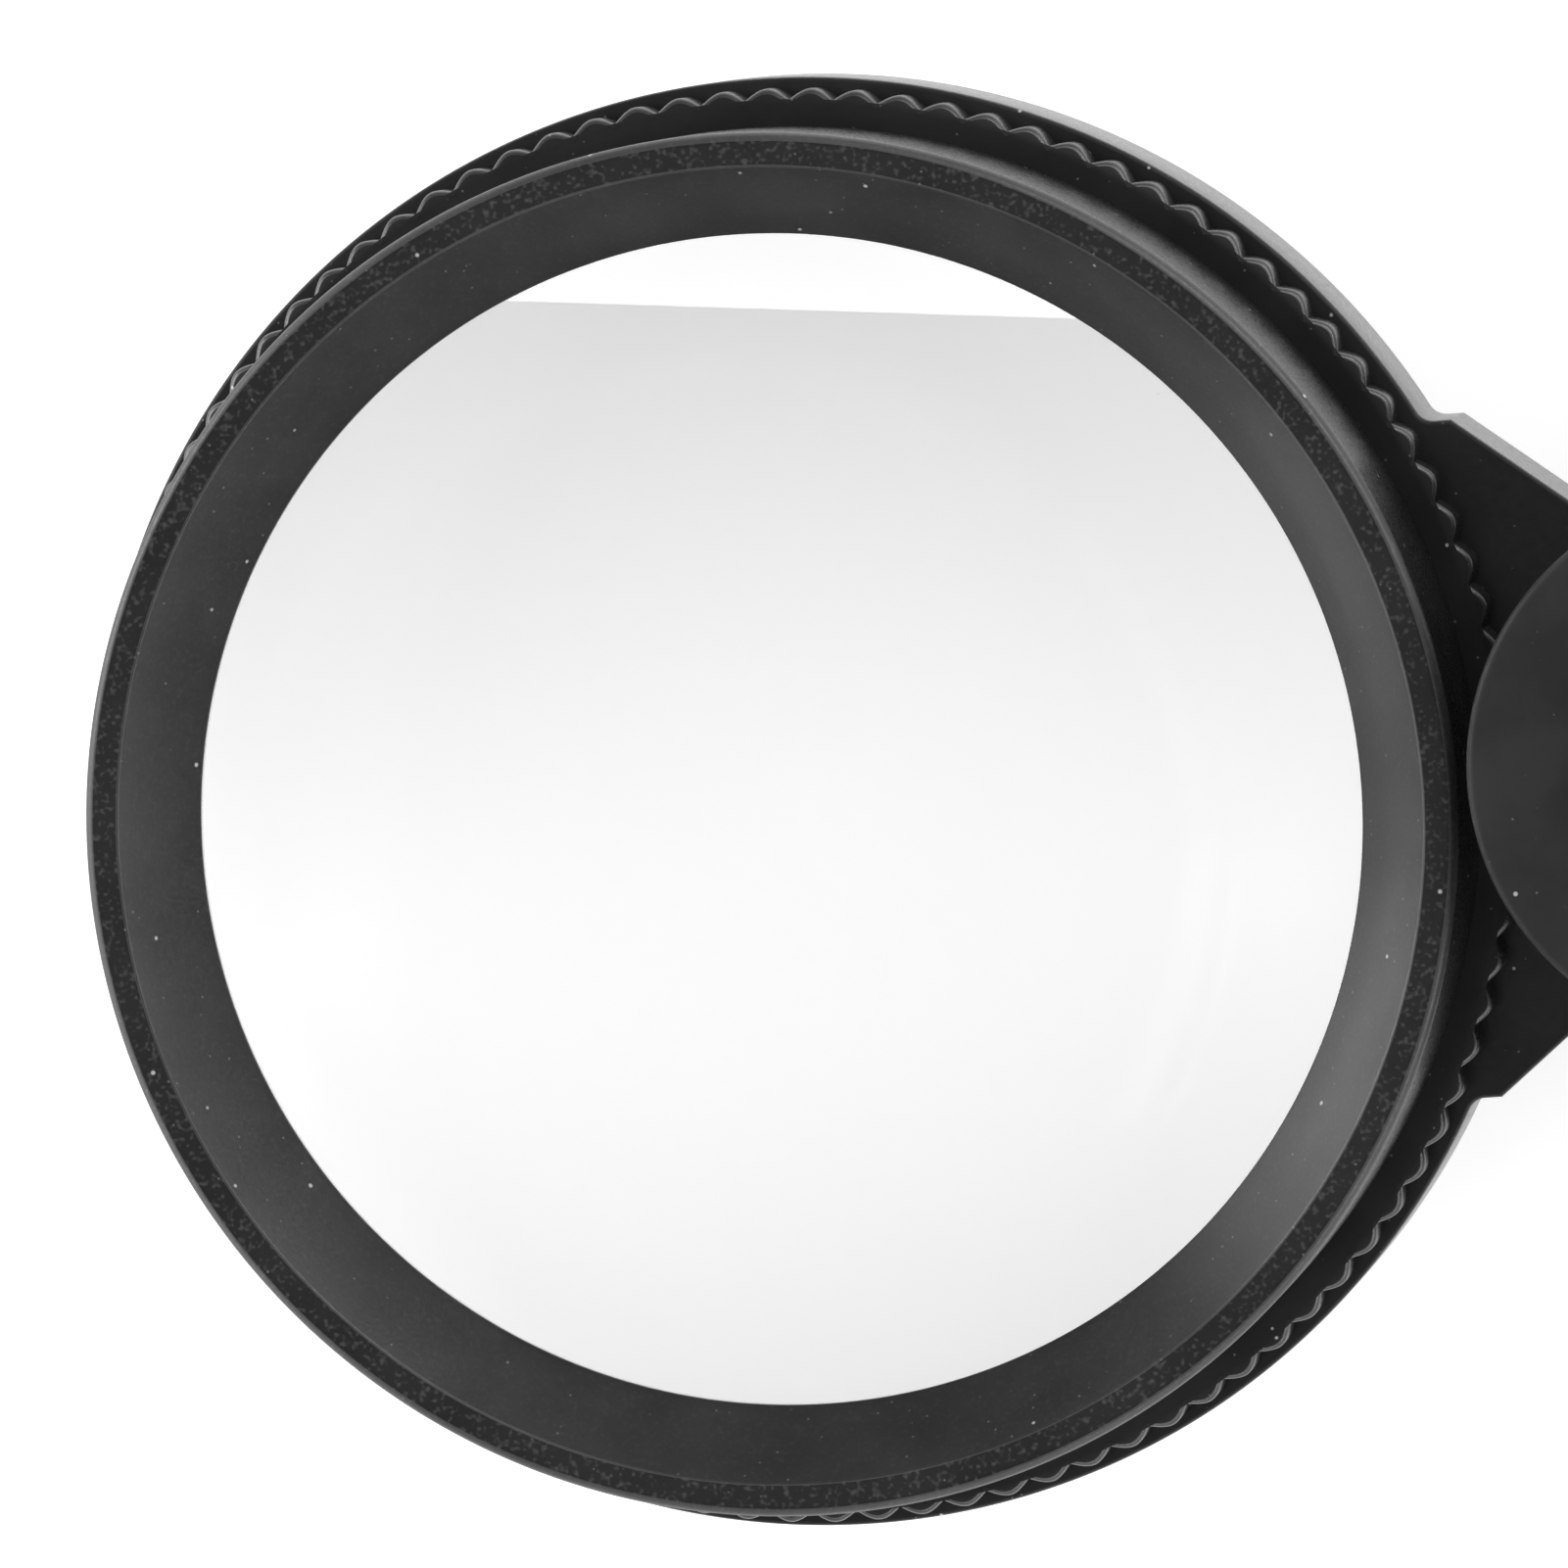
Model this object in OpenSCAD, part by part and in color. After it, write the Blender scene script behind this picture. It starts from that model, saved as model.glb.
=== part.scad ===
// Folding pocket loupe, shown open: a round lens head on a tongue swings out of a
// teardrop cover about one pivot. Millimetres. The origin lies on the pivot axis, on the
// flat underside of the cover. +X runs from the pivot to the far end of the cover, the
// lens head points to -X when open, and +Z is the optical axis.

/* [Lens] */
// Clear opening of the lens
clear_d = 21; // [17:0.5:25]
// Width of the glass rim hidden under each bezel lip
lens_ledge = 0.5; // [0.4:0.05:0.8]
// Radius of the domed inner side of each lens
lens_dome_r = 26; // [22:0.5:40]
// Thickness of each lens at its edge
lens_edge_t = 1.2; // [0.8:0.1:1.5]

/* [Bezel] */
// Width of the sloping cone round the lens
cone_w = 1.24; // [0.8:0.02:1.6]
// Depth of the cone below the flat rim
cone_depth = 1.4; // [0.8:0.1:1.6]
// Width of the rim from the cone to the side wall
rim_w = 0.6; // [0.45:0.05:1]
// Radius of the rounded outer edge of the rim
rim_round = 0.3; // [0.1:0.05:0.4]
// Height of the side wall above the knurled ring
bezel_h = 4.1; // [3.7:0.1:5]
// Thickness of the lip under the cone, where it holds the glass
lip_t = 0.12; // [0.08:0.02:0.3]

/* [Lens cell] */
// Wall of the threaded tube that holds both lenses
cell_wall = 0.5; // [0.4:0.05:0.6]
// Overlap of the bezel's skirt with the tube
skirt_overlap = 2.3; // [1.8:0.1:2.5]
// Radial width of the spacer ring between the lenses
spacer_w = 0.28; // [0.2:0.02:0.4]

/* [Knurled rings] */
// How far the knurl crests stand out past the rim
knurl_out = 0.68; // [0.5:0.01:0.8]
// Height of each knurled ring
knurl_h = 1; // [0.7:0.1:1.5]
// Number of scallops round a ring
knurl_count = 100; // [60:2:120]
// Depth of the grooves between the scallops
knurl_depth = 0.2; // [0.1:0.02:0.3]
// Size of the bevel across the outer corner of the scallops
knurl_bevel = 0.25; // [0.22:0.01:0.4]

/* [Holder] */
// Thickness of the holder's ring and tongue
plate_t = 2.6; // [2:0.1:3.5]
// How far the ring stands out past the knurl crests
ring_out = 0.18; // [0.1:0.01:0.5]
// How far the tongue's shoulders stand out past the ring
shoulder_out = 0.45; // [0.1:0.01:0.6]
// Half of the angle that the tongue's shoulders span on the ring
shoulder_a = 26.7; // [24:0.1:30]
// Slope of the tongue's edges towards the pivot
tongue_a = 38.5; // [36:0.5:40]
// Radius of the fillet between the ring and the shoulders
shoulder_fillet = 0.35; // [0.1:0.05:0.5]
// Radius of the hub round the pivot
hub_r = 3.6; // [3.2:0.1:3.8]
// Break along the sharp edges of the ring
edge_break = 0.12; // [0.05:0.01:0.2]

/* [Cover] */
// Thickness of each leaf of the cover
leaf_t = 1; // [0.8:0.1:1.5]
// Radius of the cover's round end at the pivot
end_r = 4.85; // [4.7:0.05:5.5]
// Thickness of the wall between the leaves
wall_t = 1.8; // [1.6:0.1:2.4]
// Distance along the wall's straight run from the pivot to its end
wall_start = 2.6; // [2.5:0.1:3.5]
// How far the wall reaches past the middle at the far end
wall_reach = 3.6; // [3:0.1:5]

/* [Lanyard eye] */
// Radius of the cover's nose round the eye
nose_r = 2.4; // [2.2:0.1:3]
// Slope of the nose's sides
nose_a = 30; // [20:1:40]
// Bore of the eyelet
eyelet_d = 2.2; // [1.6:0.1:2.4]
// Wall of the eyelet's tube
eyelet_wall = 0.3; // [0.2:0.05:0.4]
// Width of the eyelet's flange past its tube
eyelet_flange = 0.5; // [0.3:0.05:0.6]

/* [Pivot] */
// Diameter of the pivot barrel
barrel_d = 3; // [2.6:0.1:3.2]
// Wall of the bush pressed into the hub
bush_wall = 0.65; // [0.4:0.05:0.8]
// Width of the barrel's flange past the barrel
flange_w = 0.9; // [0.6:0.1:1.2]
// Thickness of the barrel's flange
flange_t = 0.5; // [0.3:0.05:0.6]
// Diameter of the pivot screw's thread
screw_d = 1.6; // [1.4:0.1:1.8]
// Diameter of the pivot screw's head
head_d = 5; // [4:0.1:5.4]
// Height of the pivot screw's head
head_t = 0.9; // [0.6:0.1:1.2]
// Width of the driver slot in the pivot screw
head_slot = 0.7; // [0.5:0.1:1]
// Bevel round the top of the pivot screw's head
head_bevel = 0.2; // [0.1:0.05:0.3]
// Thickness of each friction washer
washer_t = 0.3; // [0.2:0.05:0.5]
// Thickness of the spring washer
spring_t = 0.2; // [0.15:0.05:0.3]
// How much the spring washer is dished
spring_dish = 0.2; // [0.1:0.05:0.3]

/* [Cover screws] */
// Thread diameter of the small screws
small_d = 1; // [0.8:0.1:1]
// Diameter of their countersunk heads
small_head_d = 1.7; // [1.4:0.1:1.7]
// Length of a small screw
small_len = 3.2; // [2.5:0.1:4]
// Distance of the first screw from the end of the wall
first_screw = 2.2; // [1.5:0.1:4]
// Width of the driver slot in a small screw
small_slot = 0.24; // [0.15:0.01:0.3]

/* [Clearances] */
// Radial clearance of threads and seats that don't turn in use
seat_gap = 0.04; // [0.02:0.01:0.06]
// Radial clearance of the pivot barrel in its bush
turn_gap = 0.05; // [0.03:0.01:0.08]
// Play between the hub and each friction washer
axial_play = 0.02; // [0.01:0.01:0.05]
// Gap between the folded head and the cover
cover_gap = 0.3; // [0.25:0.05:0.6]
// Gap between the rim and the cover's round end, seen from the front
end_gap = 0.31; // [0.2:0.01:1]

/* [Hidden] */
$fn = 96;
clear_r = clear_d / 2;
lens_r = clear_r + lens_ledge;
cell_bore_r = lens_r + seat_gap;
cell_r = cell_bore_r + cell_wall;
thread_r = cell_r + seat_gap;
cone_r = clear_r + cone_w;
rim_r = cone_r + rim_w;
knurl_r = rim_r + knurl_out;
ring_r = knurl_r + ring_out;

// Heights above the middle plane of the head
plate_z = plate_t / 2;
knurl_z = plate_z + knurl_h;
rim_z = knurl_z + bezel_h;
lens_face_z = rim_z - cone_depth - lip_t;
cell_z = knurl_z + skirt_overlap;
head_h = 2 * rim_z;

// Rise of the lens dome from its rim to a given radius
function dome(r) = lens_dome_r - sqrt(pow(lens_dome_r, 2) - pow(r, 2));
lens_t = lens_edge_t + dome(lens_r);
spacer_r = lens_r - spacer_w;
spacer_z = lens_face_z - lens_t + dome(spacer_r);

// The pivot sits just clear of the rim, as seen from the front
arm_len = rim_r + end_r + end_gap;
gap_h = head_h + 2 * (washer_t + axial_play);
total_h = 2 * leaf_t + gap_h;
mid_z = total_h / 2;
cavity_r = ring_r + cover_gap;
big_r = cavity_r + wall_t;
swing_r = arm_len + cavity_r;
nose_x = swing_r + nose_r;
taper_a = asin((big_r - end_r) / arm_len);

barrel_r = barrel_d / 2;
bush_in_r = barrel_r + turn_gap;
bush_r = bush_in_r + bush_wall;
flange_r = barrel_r + flange_w;
screw_r = screw_d / 2;
spring_h = spring_t + spring_dish;
thread_end_z = mid_z + 1;
small_sink = (small_head_d - small_d) / 2;
small_hole_len = small_len - leaf_t + 0.2;
eyelet_r = eyelet_d / 2 + eyelet_wall;
eyelet_flange_t = eyelet_wall;

black = [0.09, 0.09, 0.09];
steel_black = [0.16, 0.16, 0.17];
glass = [0.85, 0.92, 0.95, 0.4];
brass = [0.75, 0.6, 0.3];
eps = 0.01;

// Points of an arc in the plane
function arc(c, r, a0, a1, n) = [
    for (i = [0 : n]) let (a = a0 + (a1 - a0) * i / n) [c[0] + r * cos(a), c[1] + r * sin(a)]
];

// Places a piece of the lens head, whose own origin is the centre of the lens
module at_head() {
    translate([-arm_len, 0, mid_z]) children();
}

// Places a piece on the pivot axis at a height
module at_pivot(z) {
    translate([0, 0, z]) children();
}

module tube(r_out, r_in, h) {
    difference() {
        cylinder(r = r_out, h = h);
        translate([0, 0, -eps]) cylinder(r = r_in, h = h + 2 * eps);
    }
}

// Section of one bezel, from the lip over the glass out to the rim and the skirt
module bezel() {
    round_c = [rim_r - rim_round, rim_z - rim_round];
    rotate_extrude()
        polygon(concat(
            [[clear_r, lens_face_z], [clear_r, lens_face_z + lip_t], [cone_r, rim_z]],
            arc(round_c, rim_round, 90, 0, 6),
            [
                [rim_r, knurl_z], [thread_r, knurl_z], [thread_r, cell_z],
                [cell_bore_r, cell_z], [cell_bore_r, lens_face_z]
            ]
        ));
}

// Outline of the scallops: round crests that meet in sharp grooves
function scallop_points(steps) = [
    for (i = [0 : knurl_count * steps - 1])
        let (u = 2 * (i % steps) / steps - 1, r = knurl_r - knurl_depth * u * u)
        [r * cos(360 * i / steps / knurl_count), r * sin(360 * i / steps / knurl_count)]
];

module knurled_ring() {
    difference() {
        intersection() {
            translate([0, 0, plate_z]) linear_extrude(knurl_h) polygon(scallop_points(6));
            translate([0, 0, plate_z]) cylinder(
                r1 = knurl_r - knurl_bevel + knurl_h, r2 = knurl_r - knurl_bevel, h = knurl_h
            );
        }
        cylinder(r = thread_r, h = knurl_z + 1);
    }
}

// Plano-convex lens with its flat side up at a height
module lens() {
    dome_c = lens_face_z - lens_t + lens_dome_r;
    intersection() {
        translate([0, 0, lens_face_z - lens_t]) cylinder(r = lens_r, h = lens_t);
        translate([0, 0, dome_c]) sphere(r = lens_dome_r);
    }
}

// Fillet in the corner between the ring and the straight shoulder above it
module ring_fillet(y) {
    c = [sqrt(pow(ring_r + shoulder_fillet, 2) - pow(y + shoulder_fillet, 2)), y + shoulder_fillet];
    touch = c * ring_r / (ring_r + shoulder_fillet);
    difference() {
        polygon([touch, c, [c[0], y], [sqrt(ring_r * ring_r - y * y) - eps, y - eps]]);
        translate(c) circle(r = shoulder_fillet);
    }
}

// Outline of the tongue from the ring to the hub
module tongue_outline() {
    corner = (ring_r + shoulder_out) * [cos(shoulder_a), sin(shoulder_a)];
    edge = [cos(tongue_a), -sin(tongue_a)];
    reach = ([arm_len, 0] - corner) * edge;
    foot = corner + reach * edge;
    polygon([
        [clear_r, corner[1]], corner, foot,
        [foot[0], -foot[1]], [corner[0], -corner[1]], [clear_r, -corner[1]]
    ]);
    ring_fillet(corner[1]);
    mirror([0, 1]) ring_fillet(corner[1]);
}

// Heel beside the hub that meets the end of the cover's wall when the head is fully open
module stop_heel() {
    reach = wall_start - cover_gap;
    side = sqrt(pow(end_r - cover_gap, 2) - pow(reach, 2));
    translate([arm_len, 0]) rotate(-taper_a) polygon([[0, 0], [reach, 0], [reach, -side], [0, -side]]);
}

module holder() {
    color(black) at_head() difference() {
        union() {
            translate([0, 0, -plate_z]) cylinder(r = ring_r - edge_break, h = plate_t);
            translate([0, 0, -plate_z + edge_break]) cylinder(r = ring_r, h = plate_t - 2 * edge_break);
            translate([0, 0, -plate_z]) linear_extrude(plate_t) {
                tongue_outline();
                stop_heel();
            }
            translate([arm_len, 0, -rim_z]) cylinder(r = hub_r, h = head_h);
        }
        translate([0, 0, -rim_z]) cylinder(r = thread_r, h = head_h);
        translate([arm_len, 0, -rim_z - 1]) cylinder(r = bush_r + seat_gap / 2, h = head_h + 2);
    }
}

module lens_cell() {
    color(steel_black) at_head() translate([0, 0, -cell_z]) tube(cell_r, cell_bore_r, 2 * cell_z);
}

module front_lens() {
    color(glass) at_head() lens();
}

module rear_lens() {
    color(glass) at_head() mirror([0, 0, 1]) lens();
}

module spacer_ring() {
    color(black) at_head() translate([0, 0, -spacer_z]) tube(lens_r, spacer_r, 2 * spacer_z);
}

module front_bezel() {
    color(black) at_head() bezel();
}

module rear_bezel() {
    color(black) at_head() mirror([0, 0, 1]) bezel();
}

module front_knurled_ring() {
    color(black) at_head() knurled_ring();
}

module rear_knurled_ring() {
    color(black) at_head() mirror([0, 0, 1]) knurled_ring();
}

module pivot_bush() {
    color(brass) at_pivot(mid_z - rim_z) tube(bush_r, bush_in_r, head_h);
}

// Teardrop slab: a small round end at the pivot, a large one over the lens, tangents between
module teardrop(r_small, r_large, h) {
    up = [-sin(taper_a), cos(taper_a)];
    down = [-sin(taper_a), -cos(taper_a)];
    centre = [arm_len, 0];
    cylinder(r = r_small, h = h);
    translate([arm_len, 0, 0]) cylinder(r = r_large, h = h);
    linear_extrude(h)
        polygon([r_small * up, centre + r_large * up, centre + r_large * down, r_small * down]);
}

// Nose round the lanyard eye, whose sides run back into the large end
module nose(h) {
    touch = nose_r * [sin(nose_a), cos(nose_a)];
    side = touch + 1.8 * nose_r * [-cos(nose_a), sin(nose_a)];
    translate([nose_x, 0, 0]) {
        cylinder(r = nose_r, h = h);
        linear_extrude(h) polygon([touch, side, [side[0], -side[1]], [touch[0], -touch[1]]]);
    }
}

module cover_slab(h) {
    teardrop(end_r, big_r, h);
    nose(h);
}

// Points of the small screws along the middle of the wall
function wall_mid(s) = let (a = -taper_a, q = end_r - wall_t / 2)
    [s * cos(a) + q * sin(a), s * sin(a) - q * cos(a)];
function arc_mid(a) = [arm_len, 0] + (big_r - wall_t / 2) * [cos(a), sin(a)];
screw_places = [wall_mid(wall_start + first_screw), arc_mid(-110), arc_mid(-65), arc_mid(-20)];

// One leaf, with its outer face up at the top of the cover
module leaf() {
    difference() {
        cover_slab(leaf_t);
        for (p = screw_places) translate([p[0], p[1], 0]) {
            translate([0, 0, -eps]) cylinder(d = small_d + 2 * seat_gap, h = leaf_t + 2 * eps);
            translate([0, 0, leaf_t - small_sink - seat_gap])
                cylinder(d1 = small_d, d2 = small_head_d + 2 * seat_gap, h = small_sink + seat_gap + eps);
        }
        translate([0, 0, -eps]) cylinder(r = barrel_r + seat_gap, h = leaf_t + 2 * eps);
        translate([nose_x, 0, -eps]) cylinder(r = eyelet_r + seat_gap, h = leaf_t + 2 * eps);
        translate([nose_x, 0, leaf_t - eyelet_flange_t])
            cylinder(r = eyelet_r + eyelet_flange + seat_gap, h = eyelet_flange_t + eps);
    }
}

module front_cover() {
    color(black) translate([0, 0, total_h - leaf_t]) leaf();
}

module rear_cover() {
    color(black) difference() {
        translate([0, 0, leaf_t]) mirror([0, 0, 1]) leaf();
        translate([0, 0, -eps]) cylinder(r = flange_r + seat_gap, h = flange_t + eps);
    }
}

// Wall between the leaves: along one side, round the far end and into the nose
module cover_wall() {
    color(black) translate([0, 0, leaf_t]) difference() {
        cover_slab(gap_h);
        translate([0, 0, -eps]) {
            teardrop(end_r - wall_t, cavity_r, gap_h + 2 * eps);
            intersection() {
                cylinder(r = swing_r, h = gap_h + 2 * eps);
                translate([-swing_r, 0, 0]) cube([2 * swing_r, swing_r, gap_h + 2 * eps]);
            }
            translate([-end_r, wall_reach, 0]) cube([arm_len + big_r + end_r, big_r, gap_h + 2 * eps]);
            rotate(-taper_a) translate([wall_start - 2 * end_r, -2 * end_r, 0])
                cube([2 * end_r, 2 * end_r, gap_h + 2 * eps]);
        }
        for (p = screw_places, z = [-eps, gap_h - small_hole_len])
            translate([p[0], p[1], z]) cylinder(d = small_d + 2 * seat_gap, h = small_hole_len + eps);
        translate([nose_x, 0, -eps]) cylinder(r = eyelet_r + seat_gap, h = gap_h + 2 * eps);
    }
}

// Countersunk screw, head up, with its top at the height of the origin
module small_screw() {
    difference() {
        union() {
            translate([0, 0, -small_sink]) cylinder(d1 = small_d, d2 = small_head_d, h = small_sink);
            translate([0, 0, -small_len]) cylinder(d = small_d, h = small_len - small_sink + eps);
        }
        translate([-small_head_d, -small_slot / 2, -small_slot])
            cube([2 * small_head_d, small_slot, 2 * small_slot]);
    }
}

module cover_screws() {
    color(steel_black) for (p = screw_places) {
        translate([p[0], p[1], total_h]) small_screw();
        translate([p[0], p[1], 0]) mirror([0, 0, 1]) small_screw();
    }
}

module lanyard_eyelet() {
    color(steel_black) translate([nose_x, 0, 0]) difference() {
        union() {
            cylinder(r = eyelet_r, h = total_h);
            cylinder(r = eyelet_r + eyelet_flange, h = eyelet_flange_t);
            translate([0, 0, total_h - eyelet_flange_t])
                cylinder(r = eyelet_r + eyelet_flange, h = eyelet_flange_t);
        }
        translate([0, 0, -1]) cylinder(d = eyelet_d, h = total_h + 2);
    }
}

// Threaded barrel with a flush flange under the rear leaf
module pivot_barrel() {
    color(steel_black) difference() {
        union() {
            cylinder(r = flange_r, h = flange_t);
            cylinder(r = barrel_r, h = total_h);
        }
        translate([0, 0, mid_z]) cylinder(r = screw_r + seat_gap, h = total_h);
    }
}

module pivot_screw() {
    color(steel_black) at_pivot(total_h + spring_h) difference() {
        union() {
            cylinder(d = head_d, h = head_t - head_bevel);
            translate([0, 0, head_t - head_bevel])
                cylinder(d1 = head_d, d2 = head_d - 2 * head_bevel, h = head_bevel);
            translate([0, 0, thread_end_z - total_h - spring_h])
                cylinder(r = screw_r, h = total_h + spring_h - thread_end_z + eps);
        }
        translate([-head_d, -head_slot / 2, head_t / 2]) cube([2 * head_d, head_slot, head_t]);
    }
}

// Dished washer whose outer rim stands on the leaf and whose inner rim meets the screw head
module spring_washer() {
    in_r = screw_r + 0.3;
    out_r = head_d / 2 - 0.1;
    color("silver") at_pivot(total_h) rotate_extrude()
        polygon([[in_r, spring_dish], [out_r, 0], [out_r, spring_t], [in_r, spring_h]]);
}

module washer() {
    tube(hub_r - 0.1, bush_in_r, washer_t);
}

module front_washer() {
    color("dimgray") at_pivot(total_h - leaf_t - washer_t) washer();
}

module rear_washer() {
    color("dimgray") at_pivot(leaf_t) washer();
}

holder();
lens_cell();
front_lens();
rear_lens();
spacer_ring();
front_bezel();
rear_bezel();
front_knurled_ring();
rear_knurled_ring();
pivot_bush();
front_cover();
rear_cover();
cover_wall();
cover_screws();
lanyard_eyelet();
pivot_barrel();
pivot_screw();
spring_washer();
front_washer();
rear_washer();
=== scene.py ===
# Looks of a folding jeweler loupe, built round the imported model. Named lengths are in
# millimetres and turned into metres when a piece, a lamp or the camera is made.
import math

import bpy
import bmesh
from mathutils import Matrix, Quaternion, Vector
from mathutils.geometry import tessellate_polygon


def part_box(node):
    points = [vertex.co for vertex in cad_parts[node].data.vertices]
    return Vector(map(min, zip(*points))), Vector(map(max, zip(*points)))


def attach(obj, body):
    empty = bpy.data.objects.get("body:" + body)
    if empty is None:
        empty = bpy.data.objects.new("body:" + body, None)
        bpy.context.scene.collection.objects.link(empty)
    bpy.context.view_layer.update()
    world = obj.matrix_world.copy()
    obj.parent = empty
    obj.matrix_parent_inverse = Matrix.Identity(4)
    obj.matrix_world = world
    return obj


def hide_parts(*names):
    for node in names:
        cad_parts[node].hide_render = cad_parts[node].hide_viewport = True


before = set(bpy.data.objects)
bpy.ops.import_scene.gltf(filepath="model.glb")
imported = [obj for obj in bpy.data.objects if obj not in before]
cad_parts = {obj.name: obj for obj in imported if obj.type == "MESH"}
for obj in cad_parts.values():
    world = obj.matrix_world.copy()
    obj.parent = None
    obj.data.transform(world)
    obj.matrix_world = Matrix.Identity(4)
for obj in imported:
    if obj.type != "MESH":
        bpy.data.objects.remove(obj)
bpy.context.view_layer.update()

MM = 0.001


def size_of(node):
    """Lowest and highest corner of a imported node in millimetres."""
    low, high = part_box(node)
    return low / MM, high / MM


# Sizes read from the frame
bezel_low, bezel_high = size_of("front_bezel")
rear_low = size_of("rear_bezel")[0]
knurl_low, knurl_high = size_of("front_knurled_ring")
holder_high = size_of("holder")[1]
leaf_low, leaf_high = size_of("front_cover")
glass_low, glass_high = size_of("front_lens")
cell_high = size_of("lens_cell")[1]

HEAD_X = (bezel_low.x + bezel_high.x) / 2
MID_Z = (bezel_high.z + rear_low.z) / 2
RIM_R = (bezel_high.x - bezel_low.x) / 2
RIM_Z = bezel_high.z - MID_Z
KNURL_R = (knurl_high.x - knurl_low.x) / 2
PLATE_Z = knurl_low.z - MID_Z
KNURL_Z = knurl_high.z - MID_Z
RING_R = holder_high.y
LENS_R = (glass_high.x - glass_low.x) / 2
LENS_FACE_Z = glass_high.z - MID_Z
LENS_BACK_Z = glass_low.z - MID_Z
CELL_Z = cell_high.z - MID_Z
HUB_R = holder_high.x
ARM = -HEAD_X
TOTAL_H = leaf_high.z
LEAF_T = leaf_high.z - leaf_low.z
BIG_R = leaf_high.y
END_R = -leaf_low.x

# Lens, bezel and cell
CLEAR_R = 10.5
DOME_R = 26.0
DOME_RINGS = 40
LENS_BEVEL = 0.12
LENS_STEPS = 256
LIP_T = 0.12
LIP_ROUND = 0.02
CONE_R = 11.74
CONE_FOOT_ROUND = 0.03
CONE_TOP_ROUND = 0.05
RIM_ROUND = 0.2
RIM_STEPS = 14
# The flat rim's own material reaches this far below it and inside the cone's corner
RIM_FLAT = 0.004
RIM_LAP = 0.03
WALL_FOOT_ROUND = 0.04
BEZEL_STEPS = 512
CELL_BORE_R = 11.04
THREAD_R = 11.58

# Knurled rings
KNURLS = 100
STEPS_PER_KNURL = 16
KNURL_DEPTH = 0.2
KNURL_BEVEL = 0.25
CREST_ROUND = 0.1
CREST_STEPS = 4
BEVEL_ROUND = 0.06
BEVEL_STEPS = 3
KNURL_SLOPE = 0.35
GROOVE_ROUND = 0.28

# Holder
SHOULDER_OUT = 0.45
SHOULDER_A = math.radians(26.7)
TONGUE_A = math.radians(38.5)
SHOULDER_FILLET = 0.35
FILLET_STEPS = 8
RING_STEPS = 420
RING_BORE_STEPS = 360
PLATE_ROUND = 0.1
HUB_ROUND = 0.15
HUB_OVERLAP = 0.05
HUB_STEPS = 128
HUB_ARC_STEPS = 60
BUSH_R = 2.2
BUSH_STEPS = 96
STOP_REACH = 2.3
HEEL_INSET = 0.3
UPRIGHT_NORMAL = 0.8

# Cover
LEAF_ROUND = 0.16
LEAF_STEPS = 260
LEAF_END_STEPS = 120
NOSE_R = 2.4
NOSE_X = leaf_high.x - NOSE_R
NOSE_A = math.radians(30)
NOSE_STEPS = 60
SMALL_HEAD_D = 1.7
SMALL_D = 1.0
SEAT_GAP = 0.04
BARREL_R = 1.5
FLANGE_R = 2.4
FLANGE_T = 0.5
EYELET_R = 1.4
EYELET_BORE_R = 1.1
EYELET_FLANGE = 0.5
EYELET_T = 0.3
EYELET_MOUTH_ROUND = 0.18
EYELET_RIM_ROUND = 0.08
EYELET_STEPS = 96
WALL_T = 1.8
WALL_START = 2.6
FIRST_SCREW = 2.2
# Where the other screws stand round the end, in degrees
SCREW_TURNS = (-110, -65, -20)
CUT_PAST = 1
CUT_STEPS = 64

# The cover's straight lower side: its slope, its direction and the way out of it
TAPER = math.asin((BIG_R - END_R) / ARM)
ALONG = Vector((math.cos(TAPER), -math.sin(TAPER)))
ACROSS = Vector((-math.sin(TAPER), -math.cos(TAPER)))


# Shapes in a plane


def arc(centre, r, start, end, steps):
    """Points of an arc, from one angle to another."""
    return [
        (centre[0] + r * math.cos(start + (end - start) * i / steps),
         centre[1] + r * math.sin(start + (end - start) * i / steps))
        for i in range(steps + 1)
    ]


def hole(centre, r, steps):
    """Points of a full circle, clockwise as the loop of a hole runs."""
    return arc(centre, r, 0, -2 * math.pi, steps)[:-1]


def inset(loop, d):
    """The loop moved to its left by d, into the material."""
    moved = []
    for i, point in enumerate(loop):
        here = Vector(point)
        before = (here - Vector(loop[i - 1])).normalized()
        after = (Vector(loop[(i + 1) % len(loop)]) - here).normalized()
        left = Vector((-before.y, before.x))
        next_left = Vector((-after.y, after.x))
        # The limit keeps a sharp corner from running far out
        moved.append(tuple(here + (left + next_left) * (d / max(0.4, 1 + left.dot(next_left)))))
    return moved


def meet(point, direction, centre, r):
    """Where a line from a point outside a circle first reaches it."""
    to = Vector(point) - Vector(centre)
    along = Vector(direction)
    half = to.dot(along)
    reach = -half - math.sqrt(half * half - to.length_squared + r * r)
    return tuple(Vector(point) + along * reach)


def angle_of(point, centre=(0, 0)):
    return math.atan2(point[1] - centre[1], point[0] - centre[0])


# Solids as (vertices, faces, material numbers), in millimetres


def around(sections, marks=None):
    """A solid through closed sections of (radius, height) points, evenly spaced round the axis."""
    verts, faces, numbers = [], [], []
    steps, count = len(sections), len(sections[0])
    for i, section in enumerate(sections):
        a = 2 * math.pi * i / steps
        verts += [(r * math.cos(a), r * math.sin(a), z) for r, z in section]
        j = (i + 1) % steps
        for k in range(count):
            m = (k + 1) % count
            faces.append((i * count + k, j * count + k, j * count + m, i * count + m))
            numbers.append(marks[k] if marks else 0)
    return verts, faces, numbers


def lathe(section, steps, marks=None):
    """A closed section of (radius, height) points turned round the upright axis."""
    return around([section] * steps, marks)


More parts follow.
